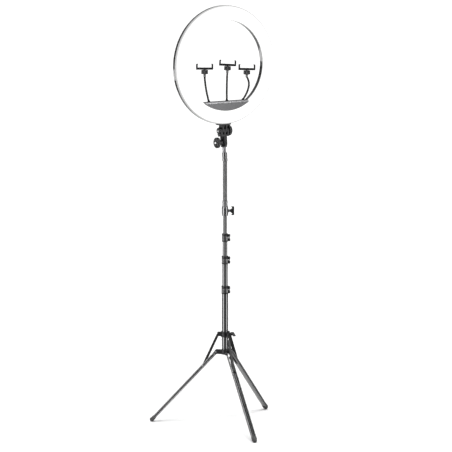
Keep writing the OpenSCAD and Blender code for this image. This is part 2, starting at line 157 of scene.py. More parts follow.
# --- Outlines ---
def arc(cx, cy, r, start, end, steps):
    angles = [radians(start + (end - start) * k / steps) for k in range(steps + 1)]
    return [(cx + r * cos(a), cy + r * sin(a)) for a in angles]


def rounded(points, radius, closed=True, steps=4):
    """The outline with an arc of this radius, or a list of radii, at its corners."""
    out = []
    count = len(points)
    for k, p in enumerate(points):
        r = radius[k] if isinstance(radius, (list, tuple)) else radius
        if r <= 0 or (not closed and k in (0, count - 1)):
            out.append(tuple(p))
            continue
        p = Vector(p)
        a = Vector(points[k - 1]) - p
        b = Vector(points[(k + 1) % count]) - p
        half = a.angle(b) / 2
        reach = min(r / tan(half), 0.49 * a.length, 0.49 * b.length)
        a, b = p + a.normalized() * reach, p + b.normalized() * reach
        for s in range(steps + 1):
            t = s / steps
            out.append(tuple(a * (1 - t) ** 2 + p * 2 * t * (1 - t) + b * t**2))
    return out


def oblong(x0, y0, x1, y1, soft, steps=4):
    """A rectangle with rounded corners."""
    return rounded([(x0, y0), (x1, y0), (x1, y1), (x0, y1)], soft, steps=steps)


def both_ends(half):
    """A pin's profile from the half that ends at its far head."""
    return [(r, -z) for r, z in reversed(half)] + half


def mirrored(half):
    """An outline from its half above the X axis."""
    return half + [(x, -y) for x, y in reversed(half) if abs(y) > 1e-6]


# --- Building pieces ---
class Shape:
    """A mesh under construction, in millimetres."""

    def __init__(self):
        self.bm = bmesh.new()

    def grid(self, rings, wrap, caps):
        """Faces between rings of vertices; wrap joins each ring's ends, caps closes the first and last."""
        for low, high in zip(rings, rings[1:]):
            count = max(len(low), len(high))
            for k in range(count if wrap else count - 1):
                n = (k + 1) % count
                corners = [low[k % len(low)], low[n % len(low)], high[n % len(high)], high[k % len(high)]]
                face = []
                for v in corners:
                    if v not in face:
                        face.append(v)
                if len(face) > 2:
                    self.bm.faces.new(face)
        if caps:
            for ring in (rings[0], rings[-1]):
                if len(ring) > 2:
                    self.bm.faces.new(ring)

    def lathe(self, profile, place=POLE, closed=False, steps=64, start=0.0, span=360.0):
        """Turns a profile of (radius, height) about the frame's Z; a closed one makes a hollow piece."""
        full = abs(span - 360) < 1e-6
        if full and not closed:
            rings = []
            for r, h in profile:
                count = 1 if abs(r) < 1e-6 else steps
                turns = [2 * pi * k / steps for k in range(count)]
                ring = [place @ Vector((r * cos(a), r * sin(a), h)) for a in turns]
                rings.append([self.bm.verts.new(p) for p in ring])
            self.grid(rings, True, True)
            return self
        count = steps if full else steps + 1
        sections = []
        for k in range(count):
            a = radians(start + span * k / steps)
            ring = [place @ Vector((r * cos(a), r * sin(a), h)) for r, h in profile]
            sections.append([self.bm.verts.new(p) for p in ring])
        if full:
            sections.append(sections[0])
        self.grid(sections, True, not full)
        return self

    def turned(self, points, soft, place=POLE, steps=64):
        """A solid turned from an open profile that starts and ends on the axis, its corners rounded."""
        return self.lathe(rounded(points, soft, closed=False), place, steps=steps)

    def sleeve(self, section, soft, place=POLE, **spin):
        """A ring, or a part of one, turned from a closed section, its corners rounded."""
        return self.lathe(rounded(section, soft), place, closed=True, **spin)

    def fluted(self, profile, place, r, flutes, depth, grip):
        """A turned profile whose rim, beyond this share of the radius r, has flutes cut into it."""
        steps = flutes * 10
        rings = []
        for radius, height in profile:
            share = max(0.0, (radius / r - grip) / (1 - grip))
            ring = []
            for k in range(steps if radius > 1e-6 else 1):
                a = 2 * pi * k / steps
                here = radius - depth * share * max(0.0, cos(a * flutes)) ** 1.5
                ring.append(self.bm.verts.new(place @ Vector((here * cos(a), here * sin(a), height))))
            rings.append(ring)
        self.grid(rings, True, True)
        return self

    def slab(self, outline, low, high, place=POLE, holes=()):
        """An outline in the frame's XY, extruded from low to high; holes are (x, y, radius)."""
        loops = [[(x, y) for x, y in outline]]
        loops += [list(reversed(arc(x, y, r, 0, 345, 23))) for x, y, r in holes]
        caps = []
        for level in (low, high):
            edges = []
            for loop in loops:
                verts = [self.bm.verts.new(place @ Vector((x, y, level))) for x, y in loop]
                edges += [self.bm.edges.new((a, b)) for a, b in zip(verts, verts[1:] + verts[:1])]
            caps.append(edges)
            if holes:
                bmesh.ops.triangle_fill(self.bm, edges=edges, use_beauty=True)
            else:
                self.bm.faces.new([e.verts[0] for e in edges])
        for below, above in zip(*caps):
            self.bm.faces.new((below.verts[0], below.verts[1], above.verts[1], above.verts[0]))
        return self

    def sweep(self, centres, radii, steps=20):
        """A round bar along a list of points, each with its radius."""
        points = [Vector(p) for p in centres]
        side = Vector((0, 1, 0))
        rings = []
        for k, p in enumerate(points):
            way = (points[min(k + 1, len(points) - 1)] - points[max(k - 1, 0)]).normalized()
            side = (side - way * side.dot(way)).normalized()
            other = way.cross(side)
            ring = []
            for s in range(steps):
                a = 2 * pi * s / steps
                ring.append(self.bm.verts.new(p + (side * cos(a) + other * sin(a)) * radii[k]))
            rings.append(ring)
        self.grid(rings, True, True)
        return self

    def block(self, low, high, place=POLE):
        """A straight block between two corners."""
        (x0, y0, z0), (x1, y1, z1) = low, high
        return self.slab([(x0, y0), (x1, y0), (x1, y1), (x0, y1)], z0, z1, place)


def cut(piece, tool):
    """Takes the tool's shape out of the piece, and removes the tool."""
    modifier = piece.modifiers.new("cut", "BOOLEAN")
    modifier.operation = "DIFFERENCE"
    modifier.solver = "EXACT"
    modifier.use_self = True
    modifier.object = tool
    bpy.context.view_layer.update()
    evaluated = piece.evaluated_get(bpy.context.evaluated_depsgraph_get())
    mesh = bpy.data.meshes.new_from_object(evaluated)
    piece.modifiers.remove(modifier)
    old = piece.data
    piece.data = mesh
    bpy.data.meshes.remove(old)
    bpy.data.objects.remove(tool)


def add_object(name, data):
    """A new object in the scene."""
    made = bpy.data.objects.new(name, data)
    bpy.context.scene.collection.objects.link(made)
    return made


def raw(shape, name="tool"):
    """A plain object from a shape, in metres."""
    bmesh.ops.recalc_face_normals(shape.bm, faces=shape.bm.faces)
    bmesh.ops.scale(shape.bm, vec=(MM, MM, MM), verts=shape.bm.verts)
    mesh = bpy.data.meshes.new(name)
    shape.bm.to_mesh(mesh)
    shape.bm.free()
    return add_object(name, mesh)


BEVEL_FROM, SHARP_FROM = radians(38), radians(42)


def piece(name, shape, body, look, slot, replaces=(), edge=0.5, tools=None, blend=None):
    """Makes a shape into a finished piece: holes, soft edges, material, and the body it rides on."""
    made = raw(shape, name)
    if tools is not None:
        cut(made, raw(tools))
    made.data.materials.clear()
    made.data.materials.append(LOOK[look])
    made.data.polygons.foreach_set("use_smooth", [True] * len(made.data.polygons))
    if edge:
        bevel = made.modifiers.new("soft edges", "BEVEL")
        bevel.width = edge * MM
        bevel.segments = 2
        bevel.limit_method = "ANGLE"
        bevel.angle_limit = BEVEL_FROM
        bevel.harden_normals = True
        bevel.use_clamp_overlap = True
    else:
        made.data.set_sharp_from_angle(angle=SHARP_FROM)
    if replaces:
        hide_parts(*replaces)
    if blend:
        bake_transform(made)
    else:
        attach(made, body)


# --- Materials ---
def add_node(tree, kind, inputs=(), **settings):
    """A new shader node; an input is given a value, or another node's output."""
    node = tree.nodes.new("ShaderNode" + kind)
    for name, value in settings.items():
        setattr(node, name, value)
    for key, value in dict(inputs).items():
        if isinstance(value, bpy.types.NodeSocket):
            tree.links.new(value, node.inputs[key])
        else:
            node.inputs[key].default_value = value
    return node


COAT_ROUGHNESS = 0.06


class Look:
    """A node material built up step by step."""

    def __init__(self, name, colour, roughness, metallic=0.0, coat=0.0, specular=0.5):
        self.material = bpy.data.materials.new(name)
        self.material.use_nodes = True
        self.tree = self.material.node_tree
        self.shader = self.tree.nodes["Principled BSDF"]
        self.colour = (*colour, 1.0)
        self.roughness = roughness
        for name, value in (("Base Color", self.colour), ("Roughness", roughness), ("Metallic", metallic),
                            ("Coat Weight", coat), ("Coat Roughness", COAT_ROUGHNESS),
                            ("Specular IOR Level", specular)):
            self.shader.inputs[name].default_value = value
        self.place = add_node(self.tree, "TexCoord").outputs["Object"]

    def feed(self, output, name):
        """Links an output to the shader's input of this name."""
        self.tree.links.new(output, self.shader.inputs[name])
        return self

    def noise(self, grain_mm, detail=3.0, stretch=None):
        """Noise whose grain is this many millimetres across; stretch scales its axes."""
        place = self.place
        if stretch:
            place = add_node(self.tree, "Mapping", {"Scale": stretch, "Vector": place}).outputs["Vector"]
        inputs = {"Scale": 1 / (grain_mm * MM), "Detail": detail, "Vector": place}
        return add_node(self.tree, "TexNoise", inputs).outputs["Fac"]

    def ramp(self, factor, low, high, low_value, high_value):
        """The factor, from low to high, spread over the range between two values."""
        inputs = {"From Min": low, "From Max": high, "To Min": low_value, "To Max": high_value,
                  "Value": factor}
        return add_node(self.tree, "MapRange", inputs).outputs["Result"]

    def bumpy(self, grain_mm, height_mm, detail=3.0, stretch=None):
        height = self.noise(grain_mm, detail, stretch)
        bump = add_node(self.tree, "Bump", {"Distance": height_mm * MM, "Height": height})
        return self.feed(bump.outputs["Normal"], "Normal")

    def uneven(self, grain_mm, spread):
        """Roughness that wanders by this much, as handling and dust leave it."""
        low, high = self.roughness - spread, self.roughness + spread
        return self.feed(self.ramp(self.noise(grain_mm, 5.0), 0.3, 0.7, low, high), "Roughness")

    def mottled(self, grain_mm, other):
        """Colour that wanders towards another colour."""
        share = self.ramp(self.noise(grain_mm, 4.0), 0.4, 0.75, 0.0, 1.0)
        inputs = {"A": self.colour, "B": (*other, 1.0), "Factor": share}
        return self.feed(add_node(self.tree, "Mix", inputs, data_type="RGBA").outputs["Result"],
                         "Base Color")

    def glowing(self, colour, strength):
        self.shader.inputs["Emission Color"].default_value = (*colour, 1.0)
        self.shader.inputs["Emission Strength"].default_value = strength
        return self

    def dimmed_at_rims(self, width, dim):
        """Emission falls off within this width of the ring's outer rim, and half as far at its inner:
        painted shade on the front's rounded edges.
        """
        centre = (0, 0, RING_Z * MM)
        apart = add_node(self.tree, "VectorMath", {0: self.place, 1: centre}, operation="SUBTRACT")
        flat = add_node(self.tree, "VectorMath", {0: apart.outputs["Vector"], 1: (1, 0, 1)},
                        operation="MULTIPLY")
        far = add_node(self.tree, "VectorMath", {0: flat.outputs["Vector"]},
                       operation="LENGTH").outputs["Value"]
        full = self.shader.inputs["Emission Strength"].default_value
        outer = self.ramp(far, (RING_R - width) * MM, RING_R * MM, full, full * dim)
        inner = self.ramp(far, HOLE_R * MM, (HOLE_R + width / 2) * MM, (1 + dim) / 2, 1.0)
        both = add_node(self.tree, "Math", {0: outer, 1: inner}, operation="MULTIPLY")
        return self.feed(both.outputs["Value"], "Emission Strength")


def looks():
    made = {
        "tube": Look("gloss_black_tube", (0.004, 0.004, 0.005), 0.10, coat=0.3)
        .bumpy(2.6, 0.004).uneven(9, 0.02),
        "leg": Look("gloss_black_leg", (0.060, 0.060, 0.062), 0.13, coat=1.0)
        .bumpy(2.2, 0.008).uneven(12, 0.04),
        # Painted shade: a near-black matte look for the dark bands down the legs.
        "painted_shade": Look("leg_painted_shade", (0.002, 0.002, 0.002), 0.6, specular=0.1)
        .bumpy(0.8, 0.02).uneven(6, 0.05),
        "plastic": Look("moulded_black", (0.005, 0.005, 0.006), 0.42, specular=0.16)
        .bumpy(0.7, 0.04).uneven(6, 0.06),
        "knob": Look("knob_black", (0.006, 0.006, 0.007), 0.32, specular=0.25)
        .bumpy(0.9, 0.03).uneven(5, 0.05),
        "lever": Look("lever_black", (0.012, 0.012, 0.013), 0.34)
        .bumpy(0.8, 0.03).uneven(5, 0.06),
        "chrome": Look("chrome_end", (0.80, 0.80, 0.81), 0.25, 0.6)
        .bumpy(1.4, 0.004).uneven(2, 0.04),
        "ferrule": Look("ferrule_gloss", (0.010, 0.010, 0.012), 0.14, coat=0.6)
        .bumpy(1.8, 0.006).uneven(4, 0.03),
        "strut": Look("strut_black", (0.003, 0.003, 0.003), 0.34, specular=0.18)
        .bumpy(1.6, 0.02).uneven(8, 0.05),
        "rubber": Look("foot_rubber", (0.012, 0.012, 0.012), 0.72)
        .bumpy(0.6, 0.06).mottled(5, (0.03, 0.03, 0.029)),
        "rivet": Look("rivet_steel", (0.09, 0.09, 0.095), 0.35, 1.0)
        .uneven(2, 0.08),
        "spigot": Look("spigot_steel", (0.10, 0.10, 0.105), 0.32, 1.0)
        .bumpy(1.0, 0.012, 4.0, (1, 1, 14)).uneven(3, 0.07),
        "hose": Look("hose_black", (0.012, 0.012, 0.013), 0.26, coat=0.3)
        .bumpy(0.8, 0.03).uneven(4, 0.07),
        "rim": Look("rim_gloss", (0.008, 0.008, 0.009), 0.12)
        .bumpy(5.0, 0.008).uneven(20, 0.03),
        # Painted shade: the opal front's glow fades towards both rims.
        "opal": Look("opal_diffuser", (0.22, 0.22, 0.22), 0.38, specular=0.1)
        .glowing((1.0, 1.0, 0.995), 0.98).dimmed_at_rims(8.0, 0.15).bumpy(0.5, 0.01),
        "shelf": Look("shelf_grey", (0.060, 0.060, 0.064), 0.42, specular=0.3)
        .bumpy(0.7, 0.03).uneven(9, 0.05),
        # Painted highlight: a light metal look for the shelf's front edge strip.
        "painted_highlight": Look("shelf_painted_highlight", (0.34, 0.34, 0.35), 0.30, 0.6)
        .bumpy(1.2, 0.01).uneven(6, 0.05),
        "board": Look("board_white", (0.80, 0.81, 0.79), 0.5)
        .mottled(3, (0.72, 0.74, 0.71)),
        "green": Look("board_green", (0.03, 0.19, 0.10), 0.4)
        .mottled(1.5, (0.05, 0.26, 0.14)),
        "chip": Look("led_yellow", (0.85, 0.68, 0.20), 0.35)
        .mottled(1.0, (0.95, 0.82, 0.38)),
        "control": Look("control_grey", (0.11, 0.11, 0.115), 0.45)
        .bumpy(0.6, 0.04).uneven(4, 0.05),
        "pad": Look("grip_rubber", (0.020, 0.020, 0.021), 0.62)
        .bumpy(0.5, 0.05).mottled(3, (0.04, 0.04, 0.04)),
    }
    return {name: look.material for name, look in made.items()}


LOOK = looks()


# --- Shared shapes ---
def ribbed(start, length, r, pitch, depth):
    """(radius, distance) pairs of a ribbed hose: a rounded crest and a narrow furrow on each pitch."""
    out = []
    count = max(1, round(length / pitch))
    step = length / count
    for k in range(count):
        for t, d in ((0.0, 1.0), (0.16, 0.35), (0.34, 0.0), (0.66, 0.0), (0.84, 0.35)):
            out.append((r - depth * d, start + (k + t) * step))
    out.append((r - depth, start + length))
    return out


def hand_knob(shape, place, r, width, flutes=14):
    """A round fluted hand knob along the frame's Z: grip rim, dished face and a centre cap."""
    rim = rounded([(0, 0), (r * 0.55, 0), (r * 0.98, 1.2), (r, 3.2), (r, width - 3), (r * 0.9, width - 0.6),
                   (r * 0.72, width), (r * 0.62, width - 2.2), (r * 0.34, width - 2.6),
                   (r * 0.30, width - 0.8), (0, width - 0.2)], 0.7, closed=False, steps=3)
    shape.fluted(rim, place, r, flutes, depth=2.0, grip=0.8)


def wing_screw(name, body, place, tip, head):
    """A screw along the frame's X, with a turned hub and a cross bar with thumb notches for a head."""
    stem = [(0, tip), (2.6, tip), (3, tip + 0.6), (3, head + 2), (0, head + 2)]
    screw = Shape().turned(stem, 0.3, place @ ALONG_X, steps=28)
    hub = [(0, 0), (6.0, 0), (6.6, 1.2), (6.4, 6), (5.8, 9), (0, 9.4)]
    screw.turned(hub, 0.8, place @ at(head, 0, 0) @ ALONG_X, steps=40)
    upright = place @ turn(90, "X")
    half = [(5, 0), (5, 8), (8.8, 9.6), (8.8, 14.4), (5.4, 15.8), (6.4, 18), (16.4, 18), (18, 16.4),
            (17.6, 0)]
    screw.slab([(x + head, z) for x, z in rounded(mirrored(half), 1.6)], -2.6, 2.6, upright)
    for side in (-1, 1):
        for k in range(3):
            x = head + 10.4 + 2.2 * k
            screw.slab(oblong(x, side * 8, x + 1.1, side * 15, 0.4), -3.0, 3.0, upright)
    piece(name, screw, body, "knob", "knob_plastic", [body], edge=0.6)


# --- Lower stand ---
def leg_frame(i):
    """Leg i's frame: +X down the leg, +Z out of the channel's open side."""
    hinge = pivot(f"leg_{i}_fold")
    out = outward(hinge).normalized()
    return aimed(hinge, out * cos(SLOPE) - UP * sin(SLOPE), UP)


def column():
    """The base tube, the hub with its three pairs of cheeks, and the legs' hinge pins."""
    r = TUBE_R[0]
    low, high = box("base_tube")
    pole = Shape().lathe(oblong(r - TUBE_WALL, low.z, r, high.z, 0.4, steps=3), closed=True, steps=96)
    piece("base_pole", pole, "column", "tube", "tube_paint", ["base_tube"], edge=0)

    low, high = box("leg_hub")
    section = [(r + 0.05, low.z + 3), (r + 0.05, high.z), (r + 2.4, high.z), (17, high.z - 2.5),
               (17, low.z + 1.5), (15.5, low.z), (3, low.z), (3, low.z + 3)]
    hub = Shape().sleeve(section, 0.8, steps=72)
    profile = [(0, low.z - 0.2), (2.2, low.z - 0.2), (3.4, low.z + 0.6), (3.4, low.z + 3), (0, low.z + 3)]
    hub.turned(profile, 0.4, steps=32)
    for i in (1, 2, 3):
        lug, reach = lug_frame(f"leg_{i}_fold")
        cheek = [(12, -8)] + arc(reach, 0, 8, -90, 90, 16) + [(12, 8)]
        for side in (-1, 1):
            near, far = sorted((side * 8.2, side * 11.0))
            hub.slab(cheek, near, far, lug, holes=[(reach, 0, 2.55)])
        hub.slab(oblong(15, -7, 21, 7, 0.5), -8.4, 8.4, lug)
    piece("hub_moulding", hub, "column", "plastic", "black_plastic", ["leg_hub"])

    pins = Shape()
    for i in (1, 2, 3):
        head = [(2.5, 11.1), (4.4, 11.15), (4.4, 11.9), (2.6, 12.8), (0, 13.0)]
        pins.turned(both_ends(head), 0.35, hinge_line(f"leg_{i}_fold"), steps=32)
    piece("hub_rivets", pins, "column", "rivet", "rivet_steel", ["hub_pins"], edge=0)


def sliding_collar():
    """The collar that carries the struts, and its wing screw."""
    low, high = box("leg_collar")
    r = TUBE_R[0] + 0.15
    section = [(r, low.z), (16.4, low.z), (17.5, low.z + 1.4), (17.5, low.z + 4.5), (16.4, low.z + 5.5),
               (16.4, high.z - 5.5), (17.5, high.z - 4.5), (17.5, high.z - 1.4), (16.0, high.z),
               (r, high.z)]
    collar = Shape().sleeve(section, 0.7, steps=72)
    screw = pivot("collar_knob_turn")
    boss = at(0, 0, screw.z) @ KNOBWARDS @ turn(55, "X")
    collar.sleeve([(3.1, 14), (7.4, 14), (7.0, 22), (6.2, 23), (3.1, 23)], 0.5, boss @ ALONG_X, steps=40)
    for i in (1, 2, 3):
        lug, reach = lug_frame(f"strut_{i}_swing")
        collar.slab([(13, -4)] + arc(reach, 0, 4, -90, 70, 12)
                    + [(reach + 0.4, 12.4), (reach - 1.2, 14), (13, 14)], -2.4, 2.4, lug)
        head = [(2, 5.1), (3.0, 5.2), (3.0, 5.6), (2.0, 6.0), (0, 6.1)]
        collar.turned(both_ends(head), 0.3, hinge_line(f"strut_{i}_swing"), steps=28)
    piece("slider_moulding", collar, "leg_collar", "plastic", "black_plastic", ["leg_collar"], edge=0.45)

    wing_screw("slider_wing_screw", "collar_knob", boss, 13.7, 24)


def channel_section(w, h, wall):
    """A U section, open upwards: two beads along each side wall, rolled lips and a plain floor."""
    a, b = w / 2, h / 2
    swell, lip = 1.1, wall / 2
    bead, apart = 2.3, h / 4 + 1.1
    turns = [pi * k / 8 for k in range(9)]
    side = [(a + swell * sin(t), middle - bead * cos(t)) for middle in (-apart, apart) for t in turns]
    roll = arc(a - lip, b - lip, lip, 20, 180, 8)
    inside = [(a - 2 * lip, b - lip), (a - wall, b - 2.6 * lip), (a - wall, -b + wall), (0, -b + wall)]
    foot = rounded(inside, [0, 0.6, 1.6, 0])
    half = [(0, -b)] + side + roll + foot[1:]
    return half + [(-x, y) for x, y in half[:0:-1]][1:]


def legs():
    """Three channel legs, each with flat black strips of painted shade between its beads and along its
    channel floor, and a rubber foot cut level.
    """
    for i in (1, 2, 3):
        place = leg_frame(i)
        upright = place @ turn(90, "X")
        leg = Shape()
        section = place @ turn(90, "Z") @ turn(90, "X")
        leg.slab(channel_section(LEG_W, LEG_H, LEG_WALL), 12, LEG_END, section)
        cheek = [(13, -LEG_H / 2), (13, LEG_H / 2)] + arc(0, 0, LEG_H / 2, 90, 270, 16)
        for side in (-1, 1):
            y0, y1 = sorted((side * (LEG_W / 2 - LEG_WALL), side * LEG_W / 2))
            leg.slab(cheek, y0, y1, upright, holes=[(0, 0, 2.6)])
            rivet = place @ at(STRUT_AT, 0, 0) @ turn(-90 * side, "X")
            profile = [(0, LEG_W / 2 - 1), (3.6, LEG_W / 2 - 1), (3.6, LEG_W / 2 + 0.7),
                       (2.2, LEG_W / 2 + 1.3), (0, LEG_W / 2 + 1.4)]
            leg.turned(profile, 0.4, rivet, steps=28)
        slot = oblong(24.3, -5.5, STRUT_AT + 1.5, 5.5, 2)
        window = Shape().slab(slot, -LEG_H, -LEG_H / 2 + LEG_WALL + 0.2, place)
        piece(f"channel_leg_{i}", leg, f"leg_{i}", "leg", "leg_paint", [f"leg_{i}"], edge=0.35,
              tools=window)

        # Painted shade: flat black strips on both side walls, between the beads, and along the channel
        # floor, where each leg shows a dark band.
        for side, tag in ((-1, "a"), (1, "b")):
            y0, y1 = sorted((side * (LEG_W / 2 - 0.4), side * (LEG_W / 2 + 0.3)))
            line = Shape().block((16, y0, -2.1), (LEG_END - 12, y1, 2.1), place)
            piece(f"groove_{tag}_{i}", line, f"leg_{i}", "painted_shade", "leg_paint", edge=0.2)
        floor = -LEG_H / 2 + LEG_WALL
        line = Shape().block((STRUT_AT + 6, -2.4, floor - 0.3), (LEG_END - 12, 2.4, floor + 0.3), place)
        piece(f"painted_shade_floor_{i}", line, f"leg_{i}", "painted_shade", "leg_paint", edge=0.2)

        start, end = LEG_END - 11, LEG_END + 5
        cap = oblong(-9.2, -8.2, 9.2, 8.2, 3.2)
        boot = Shape().slab(cap, start, end - 1, section)
        boot.lathe([(0, end - 6)] + [(a, end + b) for a, b in arc(0, 0, 9.5, 0, 90, 10)][:-1]
                   + [(0, end + 9.5)], place @ ALONG_X, steps=48)
        tools = Shape().block((start - 5, -LEG_W / 2 - 0.05, -LEG_H / 2 - 0.05),
                              (LEG_END + 0.05, LEG_W / 2 + 0.05, LEG_H / 2 + 0.05), place)
        below_floor = (-500, -500, -60), (500, 500, 0)
        tools.block(*below_floor)
        piece(f"rubber_foot_{i}", boot, f"leg_{i}", "rubber", "foot_rubber", [f"foot_{i}"], edge=0.4,
              tools=tools)


def struts():
    """Three struts, forked over the collar's tongues, each lying inside its leg's channel."""
    for i in (1, 2, 3):
        hinge = pivot(f"strut_{i}_swing")
        run = leg_frame(i) @ Vector((STRUT_AT, 0, 0)) - hinge
        side = aimed(hinge, run, UP) @ turn(90, "X")
        n, h = run.length, STRUT_HALF
        strut = Shape()
        for a, b in ((-5, -2.6), (2.6, 5)):
            strut.slab(arc(0, 0, h, 90, 270, 10) + [(17, -h), (17, h)], a, b, side, holes=[(0, 0, 2.1)])
        strut.slab([(16, -h)] + arc(n, 0, h, -90, 90, 12) + [(16, h)], -5, 5, side)
        piece(f"leg_strut_{i}", strut, f"strut_{i}", "strut", "strut_paint", [f"strut_{i}"], edge=0.8)


# --- Telescoping pole ---
def pole_sections():
    for k in (2, 3, 4):
        r = TUBE_R[k - 1]
        low, high = box(f"stand_tube_{k}")
        wall = oblong(r - TUBE_WALL, low.z, r, high.z, 0.4, steps=3)
        tube = Shape().lathe(wall, closed=True, steps=80)
        piece(f"pole_section_{k}", tube, f"tube_{k}", "tube", "tube_paint", [f"stand_tube_{k}"], edge=0)


def flip_clamps():
    """The split clamps between the pole sections, and their levers with pin, hook and grip ribs."""
    bodies = ["column", "tube_2", "tube_3"]
    for i in (1, 2, 3):
        r, r_next = TUBE_R[i - 1], TUBE_R[i]
        low, high = box(f"clamp_collar_{i}")
        z, top, rc = low.z, high.z, -low.x
        pin = pivot(f"clamp_lever_{i}_flip")
        reach = Vector((pin.x, pin.y)).length
        section = [(r + 0.05, z), (rc - 0.6, z), (rc, z + 1), (rc, z + 3.2), (rc - 0.6, z + 4),
                   (rc - 0.6, top - 5), (rc, top - 4), (rc, top - 1.4), (rc - 1.0, top),
                   (r_next + 0.1, top), (r_next + 0.1, z + 20), (r + 0.05, z + 20)]
        clamp = Shape().sleeve(section, 0.5, steps=72)
        for level in (z + 2.5, top - 13):
            ear = [(r_next + 1.2, -4.2)] + arc(reach, 0, 4.2, -90, 90, 12) + [(r_next + 1.2, 4.2)]
            clamp.slab(ear, level, level + 10.5, SIDEWAYS, holes=[(reach, 0, 1.6)])
        tools = Shape().block((r_next - 0.5, -1, z + 20), (rc + 0.6, 1, top + 2), SIDEWAYS)
        piece(f"flip_clamp_{i}", clamp, bodies[i - 1], "plastic", "black_plastic", [f"clamp_collar_{i}"],
              edge=0.4, tools=tools)

        lever = Shape()
        pin_line = SIDEWAYS @ at(reach, 0, 0)
        profile = [(0, z + 1.7), (2.3, z + 1.7), (2.3, z + 2.3), (1.5, z + 2.4), (1.5, top - 2.4),
                   (2.3, top - 2.3), (2.3, top - 1.7), (0, top - 1.7)]
        lever.turned(profile, 0.2, pin_line, steps=24)
        profile = [(0, z + 14.8), (2.4, z + 14.8), (2.4, z + 18.2), (0, z + 18.2)]
        lever.turned(profile, 0.4, pin_line, steps=28)
        inner = rc + 0.9
        lever.lathe(oblong(inner, z + 15, inner + 2.3, z + 18, 0.5), SIDEWAYS, closed=True, steps=12,
                    start=-40, span=38)
        inner = rc + 0.6
        section = [(inner, z + 5.4), (inner + 1.6, z + 5.0), (inner + 2.7, z + 6.6), (inner + 3.0, z + 14),
                   (inner + 2.7, z + 21.4), (inner + 1.6, z + 23), (inner, z + 22.6)]
        lever.sleeve(section, 0.8, SIDEWAYS, steps=40, start=-120, span=84)
        for k in range(3):
            section = [(inner + 2, z + 8), (inner + 3.5, z + 8.6), (inner + 3.5, z + 19.4),
                       (inner + 2, z + 20)]
            lever.sleeve(section, 0.3, SIDEWAYS, steps=3, start=-117 + 6 * k, span=2.6)
        piece(f"flip_lever_{i}", lever, f"clamp_lever_{i}", "lever", "black_plastic", [f"clamp_lever_{i}"],
              edge=0.4)


# --- Neck ---
def neck():
    """The socket and wing screw, the ribbed hose between its ferrules, and the steel spigot."""
    low, high = box("neck_socket")
    z, top = low.z, high.z
    r = TUBE_R[3]
    screw = pivot("neck_knob_turn")
    boss = at(0, 0, screw.z) @ SIDEWAYS
    section = [(r + 0.05, z), (11.6, z), (12.6, z + 1.4), (12.6, z + 7), (13.5, z + 8.2), (13.5, top - 7.5),
               (12.8, top - 6.5), (12.8, top - 2), (11.4, top), (8.1, top), (8.1, z + 15), (3, z + 15),
               (3, z + 12), (r + 0.05, z + 12)]
    socket = Shape().sleeve(section, 0.7, steps=72)
    socket.sleeve([(3.1, 9.5), (6.6, 9.5), (6.4, 18), (5.6, 19), (3.1, 19)], 0.5, boss @ ALONG_X, steps=36)
    piece("neck_socket_moulding", socket, "tube_4", "ferrule", "black_plastic", ["neck_socket"], edge=0.4)

    wing_screw("neck_wing_screw", "neck_knob", boss, 8.4, 20)

    low, high = box("lower_ferrule")
    shoulder = screw.z + 18.1
    profile = [(0, low.z), (7, low.z), (8, low.z + 1), (8, shoulder), (11, shoulder), (11, shoulder + 6),
               (10.2, shoulder + 7), (10.2, shoulder + 12), (11, shoulder + 13), (10.6, high.z - 1.5),
               (9.2, high.z), (0, high.z)]
    ferrule = Shape().turned(profile, 0.6, steps=64)
    piece("neck_ferrule", ferrule, "neck_turn", "ferrule", "black_plastic", ["lower_ferrule"], edge=0)

    start, end = box("gooseneck_lower")[0].z, BEND_AT.z + 0.6
    hose = Shape().lathe([(0, start)] + ribbed(start, end - start, r=9.2, pitch=4.0, depth=0.7)
                         + [(0, end)], steps=40)
    piece("gooseneck_hose", hose, None, "hose", "hose", ["gooseneck_lower", "gooseneck_upper"], edge=0,
          blend=("neck_turn", "neck_top", (0, 0, start * MM), (0, 0, end * MM)))

    foot, step, high = BEND_AT.z, HEAD_LOW - 22, HEAD_LOW + 32
    profile = [(0, foot), (10.1, foot), (10.9, foot + 1.2), (10.9, foot + 9), (10.0, foot + 10),
               (10.0, foot + 15), (10.9, foot + 16), (10.9, step - 6), (9.6, step - 1.2), (8.4, step),
               (0, step)]
    cap = Shape().turned(profile, 0.6, NECK, steps=64)
    piece("spigot_ferrule", cap, "neck_top", "ferrule", "spigot_steel", edge=0)
    r = 7.5
    profile = [(0, step - 8), (r, step - 8), (r, step + 4), (r - 0.9, step + 5.4), (r - 0.9, step + 9.5),
               (r, step + 11), (r, high - 1.2), (r - 1.2, high), (0, high)]
    spigot = Shape().turned(profile, 0.4, NECK, steps=56)
    piece("steel_spigot", spigot, "neck_top", "spigot", "spigot_steel", ["upper_ferrule"], edge=0)


# --- Tilt head ---
FIN_W, FIN_PITCH, FIN_R, BOLT_HOLE = 6.8, 7.8, 14.0, 4.1


def fin(shape, x, centre, root, up):
    """One fin of the tilt joint at x along its bolt; root is how far it reaches back to its moulding."""
    outline = [(FIN_R, -up * root)] + arc(0, 0, FIN_R, 0, 180 * up, 20) + [(-FIN_R, -up * root)]
    place = centre @ turn(90, "Z") @ turn(90, "X")
    shape.slab(outline, x - FIN_W / 2, x + FIN_W / 2, place, holes=[(0, 0, BOLT_HOLE)])


